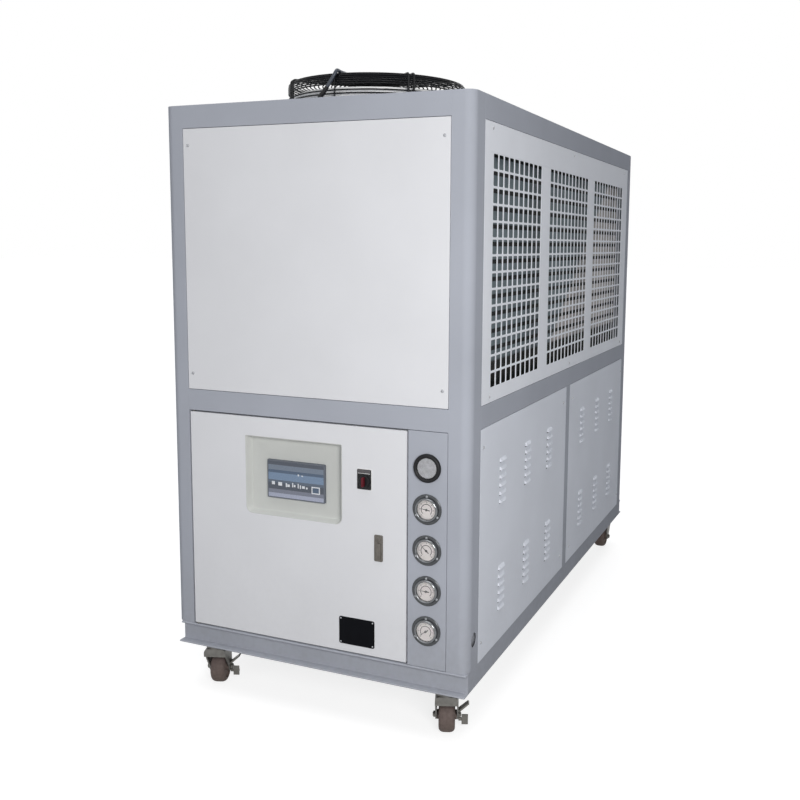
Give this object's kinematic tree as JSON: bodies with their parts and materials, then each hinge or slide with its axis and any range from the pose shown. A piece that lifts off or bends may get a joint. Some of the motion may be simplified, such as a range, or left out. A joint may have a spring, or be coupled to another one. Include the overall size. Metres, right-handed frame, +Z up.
{
  "type": "air cooled water chiller",
  "caption": "Box-shaped air cooled water chiller on casters, with punched condenser grilles, louvred side panels, roof fans under wire guards, a control door and a column of gauges.",
  "frame": {"origin": "on the floor, under the centre of the chiller", "axes": "+X to the right seen from the front, +Y to the rear, +Z up"},
  "size_m": [1.014, 2.094, 1.9335],
  "materials": {
    "frame_paint": "textured powder coat",
    "panel_paint": "fine textured powder coat",
    "side_paint": "fine textured powder coat",
    "ring_paint": "satin",
    "gauge_metal": "satin",
    "zinc": "zinc plated",
    "galvanised": "galvanised",
    "black_plastic": "satin",
    "ivory_plastic": "satin",
    "screen": "gloss",
    "black_plate": "satin",
    "black_wire": "semi gloss",
    "blade": "satin",
    "fin": "fin stock",
    "cable": "matte",
    "wheel_rubber": "matte"
  },
  "bodies": {
    "cabinet": {"base_cross_channels": "frame_paint", "base_side_channels": "frame_paint", "corner_gussets": "frame_paint", "floor_pan": "frame_paint", "corner_posts": "frame_paint", "top_rails": "frame_paint", "mid_rails": "frame_paint", "side_mullions": "frame_paint", "front_upper_panel": "panel_paint", "rear_upper_panel": "panel_paint", "rear_lower_panel": "panel_paint", "gauge_panel": "frame_paint", "pressure_gauges": "gauge_metal", "sight_gauge": "black_plastic", "door_hinges": "zinc", "control_box": "galvanised", "grille_right": "side_paint", "grille_left": "side_paint", "louvre_panels_right": "side_paint", "louvre_panels_left": "side_paint", "roof_panel": "frame_paint", "fan_rings": "ring_paint", "fan_guard_front": "black_wire", "fan_guard_middle": "black_wire", "fan_guard_rear": "black_wire", "fan_motors": "black_wire", "condenser_coils": "fin", "deck": "galvanised", "fan_cables": "cable", "water_sockets": "galvanised", "caster_plates": "zinc"},
    "door": {"control_door": "panel_paint", "display_pan": "ivory_plastic", "touch_screen": "screen", "rotary_switch": "black_plastic", "door_latch": "zinc", "nameplate": "black_plate"},
    "rotor_front": {"fan_rotor_front": "blade"},
    "rotor_middle": {"fan_rotor_middle": "blade"},
    "rotor_rear": {"fan_rotor_rear": "blade"},
    "fork_front_left": {"caster_fork_front_left": "zinc"},
    "wheel_front_left": {"caster_wheel_front_left": "wheel_rubber"},
    "fork_front_right": {"caster_fork_front_right": "zinc"},
    "wheel_front_right": {"caster_wheel_front_right": "wheel_rubber"},
    "fork_rear_left": {"caster_fork_rear_left": "zinc"},
    "wheel_rear_left": {"caster_wheel_rear_left": "wheel_rubber"},
    "fork_rear_right": {"caster_fork_rear_right": "zinc"},
    "wheel_rear_right": {"caster_wheel_rear_right": "wheel_rubber"}
  },
  "joints": [
    {"name": "door_hinge", "type": "hinge", "parent": "cabinet", "child": "door", "pos_m": [-0.422, -1.017, 0.56], "axis": [0, 0, -1], "range_deg": [0, 110]},
    {"name": "fan_spin_front", "type": "hinge", "parent": "cabinet", "child": "rotor_front", "pos_m": [0, -0.587, 1.827], "axis": [0, 0, 1], "continuous": true},
    {"name": "fan_spin_middle", "type": "hinge", "parent": "cabinet", "child": "rotor_middle", "pos_m": [0, 0, 1.827], "axis": [0, 0, 1], "continuous": true},
    {"name": "fan_spin_rear", "type": "hinge", "parent": "cabinet", "child": "rotor_rear", "pos_m": [0, 0.587, 1.827], "axis": [0, 0, 1], "continuous": true},
    {"name": "caster_swivel_front_left", "type": "hinge", "parent": "cabinet", "child": "fork_front_left", "pos_m": [-0.373, -0.992, 0.14], "axis": [0, 0, 1], "continuous": true},
    {"name": "caster_roll_front_left", "type": "hinge", "parent": "fork_front_left", "child": "wheel_front_left", "pos_m": [-0.386, -0.95629, 0.05], "axis": [-0.9397, -0.342, 0], "continuous": true},
    {"name": "caster_swivel_front_right", "type": "hinge", "parent": "cabinet", "child": "fork_front_right", "pos_m": [0.426, -0.992, 0.14], "axis": [0, 0, 1], "continuous": true},
    {"name": "caster_roll_front_right", "type": "hinge", "parent": "fork_front_right", "child": "wheel_front_right", "pos_m": [0.41238, -0.95652, 0.05], "axis": [-0.9336, -0.3584, 0], "continuous": true},
    {"name": "caster_swivel_rear_left", "type": "hinge", "parent": "cabinet", "child": "fork_rear_left", "pos_m": [-0.373, 0.992, 0.14], "axis": [0, 0, 1], "continuous": true},
    {"name": "caster_roll_rear_left", "type": "hinge", "parent": "fork_rear_left", "child": "wheel_rear_left", "pos_m": [-0.373, 0.954, 0.05], "axis": [1, 0, 0], "continuous": true},
    {"name": "caster_swivel_rear_right", "type": "hinge", "parent": "cabinet", "child": "fork_rear_right", "pos_m": [0.426, 0.992, 0.14], "axis": [0, 0, 1], "continuous": true},
    {"name": "caster_roll_rear_right", "type": "hinge", "parent": "fork_rear_right", "child": "wheel_rear_right", "pos_m": [0.426, 0.954, 0.05], "axis": [1, 0, 0], "continuous": true}
  ]
}
